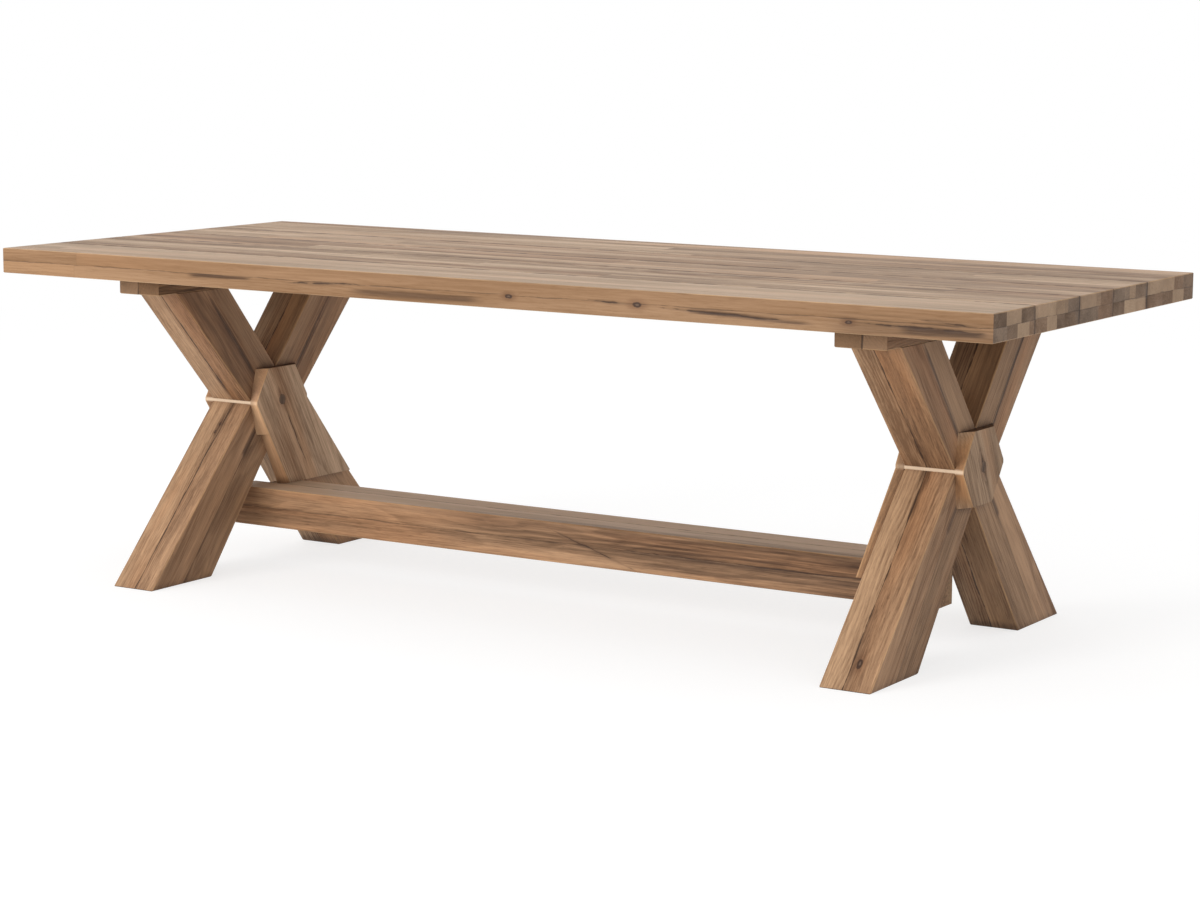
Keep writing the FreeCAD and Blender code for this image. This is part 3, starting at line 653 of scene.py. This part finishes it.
def make_glued_strips():
    """Strips of a laminated plank: a random number for each length of strip, and its joints."""
    tree, given, result = effect(
        "Glued Strips",
        {"Place": "Vector", "Low Edge": "Float", "Strip Width": "Float", "Board Length": "Float",
         "Seed": "Float"},
        {"Strip Seed": "Float", "Tone": "Float", "Joint": "Float"})
    parts = add(tree, "SeparateXYZ", {"Vector": given["Place"]}).outputs
    from_low = calc(tree, "SUBTRACT", parts["Y"], given["Low Edge"])
    strips = calc(tree, "DIVIDE", from_low, given["Strip Width"])
    number = calc(tree, "FLOOR", strips)
    own = calc(tree, "MULTIPLY_ADD", given["Seed"], 17.0, number)
    shift = add(tree, "TexWhiteNoise", {"W": own}, noise_dimensions="1D").outputs["Value"]
    boards = calc(tree, "ADD", calc(tree, "DIVIDE", parts["X"], given["Board Length"]), shift)
    board = calc(tree, "FLOOR", boards)
    both = add(tree, "CombineXYZ", {"X": own, "Y": board}).outputs[0]
    tone = add(tree, "TexWhiteNoise", {"Vector": both}, noise_dimensions="3D").outputs["Value"]
    in_strip = calc(tree, "FRACT", strips)
    nearer = calc(tree, "MINIMUM", in_strip, calc(tree, "SUBTRACT", 1.0, in_strip))
    from_edge = calc(tree, "MULTIPLY", nearer, given["Strip Width"])
    from_end = calc(tree, "MULTIPLY", calc(tree, "FRACT", boards), given["Board Length"])
    joint = calc(tree, "MAXIMUM", step(tree, from_edge, 0.0002, 0.0009, 0.55, 0.0),
                 step(tree, from_end, 0.0004, 0.0016, 0.8, 0.0))
    tree.links.new(calc(tree, "MULTIPLY", tone, 91.0), result["Strip Seed"])
    tree.links.new(tone, result["Tone"])
    tree.links.new(joint, result["Joint"])
    return tree


GLUED_STRIPS = make_glued_strips()
TOP_PALE = srgb(212, 180, 148)
TOP_DARK = srgb(108, 81, 60)
STRIP_PALE = srgb(184, 148, 116)
STRIP_DARK = srgb(88, 65, 48)
FRONT_TAN, TAN_SHARE = srgb(192, 142, 92), 0.32
# Shares of the paler, greyer upward faces: partly weathering, partly a painted sheen.
FRONT_BLEACHED_AND_SHEEN, TOP_BLEACHED_AND_SHEEN = 0.40, 0.16
# Half width and strength of the line between the layers and of the seams between planks.
LAYER_LINE = (0.0009, 0.5)
# The broad darkening beside the plank seams is partly dirt, partly painted shade in the groove.
PLANK_DIRT_AND_SHADE = (0.0100, 0.22)
PLANK_SEAM = (0.0024, 0.9)
BOARD_LENGTH = 1.45
FRONT_BOARD_LENGTH = 2.7
END_TONES = {
    "light": srgb(180, 152, 124), "tan": srgb(156, 130, 104), "brown": srgb(128, 101, 78),
    "grey": srgb(120, 103, 87), "dark": srgb(96, 76, 58),
}
# Each strip's tone and its share of the plank in percent, plank by plank from the front.
END_STRIPS = {
    "upper": (
        "dark 31, light 36, dark 33", "light 46, tan 28, grey 26", "tan 62, brown 38",
        "grey 48, tan 17, dark 35", "light 58, brown 20, dark 22"),
    "lower": (
        "grey 33, dark 25, light 29, brown 13", "brown 27, light 22, dark 51", "grey 56, brown 44",
        "dark 33, light 62, brown 5", "brown 55, light 24, dark 21"),
}


def strips_in(low_y, width, count, length, seed):
    """Gives each strip of a plank its own tone and its own piece of timber."""
    def strips(tree, place, pale, dark):
        cut = use(tree, GLUED_STRIPS, {
            "Place": place, "Low Edge": low_y, "Strip Width": width / count,
            "Board Length": length, "Seed": seed})
        pale = blend(tree, cut["Joint"], blend(tree, cut["Tone"], pale, STRIP_PALE), JOINT_DARK)
        dark = blend(tree, cut["Joint"], blend(tree, cut["Tone"], dark, STRIP_DARK), JOINT_DARK)
        return pale, dark, cut["Strip Seed"]
    return strips


def end_grain_in(low_y, width, tones):
    """Gives the end of each strip of a plank its own tone."""
    def ends(tree, place, colour):
        across = add(tree, "SeparateXYZ", {"Vector": place}).outputs["Y"]
        share = calc(tree, "DIVIDE", calc(tree, "SUBTRACT", across, low_y), width)
        ramp = add(tree, "ValToRGB", {"Fac": share})
        ramp.color_ramp.interpolation = "CONSTANT"
        marks = ramp.color_ramp.elements
        marks.remove(marks[1])
        start = 0.0
        for tone, percent in tones:
            mark = marks.new(start) if start else marks[0]
            mark.color = END_TONES[tone]
            start += percent / 100
        return blend(tree, 0.4, ramp.outputs["Color"], colour)
    return ends


top_low, top_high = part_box("top_plank_1_lower")[0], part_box("top_plank_5_upper")[1]
layer_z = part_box("top_plank_1_upper")[0].z
front_y = top_low.y
FRONT_KNOTS = (
    (Vector((0.457, front_y, 0.7310)), 0.0055),
    (Vector((0.923, front_y, 0.7260)), 0.0040),
    (Vector((0.154, front_y, 0.7300)), 0.0045),
)
FRONT_CRACKS = (
    (Vector((0.340, front_y, 0.7335)), Vector((0.452, front_y, 0.7312)), 0.0016),
    (Vector((0.500, front_y, 0.7300)), Vector((0.800, front_y, 0.7190)), 0.0022),
    (Vector((0.930, front_y, 0.7255)), Vector((1.215, front_y, 0.7235)), 0.0020),
    (Vector((-0.430, front_y, 0.7260)), Vector((-0.200, front_y, 0.7330)), 0.0016),
    (Vector((1.060, front_y, 0.7400)), Vector((1.200, front_y, 0.7330)), 0.0014),
)
FRONT_STAINS = (
    (Vector((-0.690, front_y, 0.7280)), Vector((-0.500, front_y, 0.7300)), 0.0080, 0.75),
    (Vector((1.020, front_y, 0.7170)), Vector((1.215, front_y, 0.7190)), 0.0090, 0.75),
    (Vector((0.560, front_y, 0.7260)), Vector((0.860, front_y, 0.7160)), 0.0090, 0.75),
    (Vector((-0.260, front_y, 0.7180)), Vector((0.100, front_y, 0.7180)), 0.0120, 0.6),
    (Vector((0.860, front_y, 0.7160)), Vector((1.300, front_y, 0.7140)), 0.0320, 0.35),
)
TOP_STAIN = (Vector((0.720, -0.154, 0.760)), Vector((1.120, -0.150, 0.760)), 0.0170, 0.6)
for layer, names in END_STRIPS.items():
    for number, words in enumerate(names, start=1):
        name = f"top_plank_{number}_{layer}"
        tones = [(tone, int(percent)) for tone, percent in map(str.split, words.split(", "))]
        low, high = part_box(name)
        width = high.y - low.y
        joints = [(Z, layer_z, *LAYER_LINE)]
        for edge in (low.y, high.y):
            if top_low.y < edge < top_high.y:
                # Beside each seam between planks: a broad soft darkening, partly dirt and partly painted
                # shade in the groove, then the dark joint.
                joints += [(Y, edge, *PLANK_DIRT_AND_SHADE), (Y, edge, *PLANK_SEAM)]
        seed += 1.0
        front_plank = number == 1
        length = FRONT_BOARD_LENGTH if front_plank else BOARD_LENGTH
        finish_with(name, teak(
            name + "_teak", X, Y, TOP_PALE, TOP_DARK, seed, figure=0.25, streaks=0.8, wear_and_highlight=0.45,
            bleached_and_sheen=FRONT_BLEACHED_AND_SHEEN if front_plank else TOP_BLEACHED_AND_SHEEN, joints=joints,
            strips=strips_in(low.y, width, len(tones), length, seed),
            ends=end_grain_in(low.y, width, tones),
            bare=((Y, FRONT_TAN, TAN_SHARE),),
            knots=FRONT_KNOTS if front_plank else (),
            cracks=FRONT_CRACKS if front_plank else (),
            stains=FRONT_STAINS if front_plank else (TOP_STAIN,) if number == 2 else ()))


# ---- hidden joinery -------------------------------------------------------------------
# Loose hardwood tenons in the legs' joints, hardwood plugs over the hub bolts, and zinc
# plated screws, bolts and nuts.

TENON_PALE, TENON_DARK = srgb(150, 122, 98), srgb(100, 78, 60)
# The plugs are darker than the tenons: partly their own wood, partly painted shade round them.
PLUG_SHADED_PALE, PLUG_SHADED_DARK = srgb(130, 103, 79), srgb(72, 53, 39)
seed += 1.0
finish_with("leg_tenons", teak("tenon_hardwood", Z, Y, TENON_PALE, TENON_DARK, seed, wear_and_highlight=0))
plug_x = (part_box("right_hub")[1].x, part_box("right_brace")[0].x)
plug_cracks = [
    (Vector((x * way, 0.003, hub_z + 0.013)), Vector((x * way, -0.003, hub_z - 0.014)), 0.0024)
    for x in plug_x
    for way in (1, -1)
]
seed += 1.0
finish_with("hub_plugs", teak(
    "plug_hardwood", Z, Y, PLUG_SHADED_PALE, PLUG_SHADED_DARK, seed, wear_and_highlight=0, cracks=plug_cracks))
for name in ("bearer_screws", "brace_foot_screws", "hub_bolts", "hub_nuts"):
    finish_with(name, steel(name + "_zinc", srgb(176, 178, 180), 0.34))


# ---- floor, light and camera ----------------------------------------------------------
# A plain white studio floor that runs out of sight, one large soft light from the front
# left, and even white light from all round.

half = 60.0
FLOOR_WHITE = srgb(240, 240, 240)
SHADE_SHARE = srgb(160, 160, 160)
SHADE_LIFT = 0.72
FADE_START, FADE_END = 2.2, 6.5
mesh = bpy.data.meshes.new("studio_floor")
corners = [(-half, -half, 0), (half, -half, 0), (half, half, 0), (-half, half, 0)]
mesh.from_pydata(corners, [], [(0, 1, 2, 3)])
floor = bpy.data.objects.new("studio_floor", mesh)
bpy.context.scene.collection.objects.link(floor)
material = bpy.data.materials.new("studio_floor_paint")
material.use_nodes = True
tree = material.node_tree
painted = tree.nodes["Principled BSDF"]
painted.inputs["Base Color"].default_value = FLOOR_WHITE
painted.inputs["Roughness"].default_value = 0.9
painted.inputs["Specular IOR Level"].default_value = 0.0
shaded = add(tree, "BsdfDiffuse", {"Color": SHADE_SHARE})
lift = add(tree, "Emission", {"Color": (1, 1, 1, 1), "Strength": SHADE_LIFT})
near = add(tree, "AddShader", {0: shaded.outputs[0], 1: lift.outputs[0]})
far = add(tree, "Emission", {"Color": (1, 1, 1, 1), "Strength": 1.0})
distance = vector_calc(tree, "LENGTH", add(tree, "TexCoord").outputs["Object"])
farness = step(tree, distance, FADE_START, FADE_END)
looks = add(tree, "MixShader", {0: farness, 1: near.outputs[0], 2: far.outputs[0]})
rays = add(tree, "LightPath").outputs
seen = calc(tree, "MAXIMUM", rays["Is Camera Ray"], rays["Is Glossy Ray"])
whole = add(tree, "MixShader", {0: seen, 1: painted.outputs[0], 2: looks.outputs[0]})
tree.links.new(whole.outputs[0], tree.nodes["Material Output"].inputs["Surface"])
mesh.materials.append(material)

AIR_LIGHT = 0.80
world = bpy.data.worlds.new("studio_air")
world.use_nodes = True
bpy.context.scene.world = world
tree = world.node_tree
background = tree.nodes["Background"]
background.inputs["Color"].default_value = (1, 1, 1, 1)
rays = add(tree, "LightPath").outputs
seen = calc(tree, "MAXIMUM", rays["Is Camera Ray"], rays["Is Glossy Ray"])
tree.links.new(step(tree, seen, 0.0, 1.0, AIR_LIGHT, 1.0), background.inputs["Strength"])

KEY_PLACE, KEY_AIM = Vector((-2.2, -6.4, 2.8)), Vector((0, 0, 0.4))
lamp = bpy.data.lights.new("key_light", "AREA")
lamp.shape = "SQUARE"
lamp.size = 3.0
lamp.energy = 250
light = bpy.data.objects.new("key_light", lamp)
light.location = KEY_PLACE
light.rotation_mode = "QUATERNION"
light.rotation_quaternion = (KEY_AIM - KEY_PLACE).to_track_quat("-Z", "Y")
bpy.context.scene.collection.objects.link(light)

CAMERA_PLACE = Vector((3.434, -5.442, 1.323))
CAMERA_TURN = math.radians(31.82)
CAMERA_DOWN = math.radians(8.70)
CAMERA_ROLL = math.radians(0.38)
LENS = 88.2
lens = bpy.data.cameras.new("studio_camera")
lens.sensor_width = 36.0
lens.lens = LENS
camera = bpy.data.objects.new("studio_camera", lens)
camera.location = CAMERA_PLACE
flat = Vector((math.cos(CAMERA_TURN), math.sin(CAMERA_TURN), 0))
ahead = Vector((-flat.y, flat.x, 0)) * math.cos(CAMERA_DOWN) - Z * math.sin(CAMERA_DOWN)
upward = flat.cross(ahead)
right = flat * math.cos(CAMERA_ROLL) + upward * math.sin(CAMERA_ROLL)
camera.rotation_mode = "QUATERNION"
camera.rotation_quaternion = Matrix((right, right.cross(ahead), -ahead)).transposed().to_quaternion()
bpy.context.scene.collection.objects.link(camera)
bpy.context.scene.camera = camera
bpy.context.scene.view_settings.view_transform = "Standard"
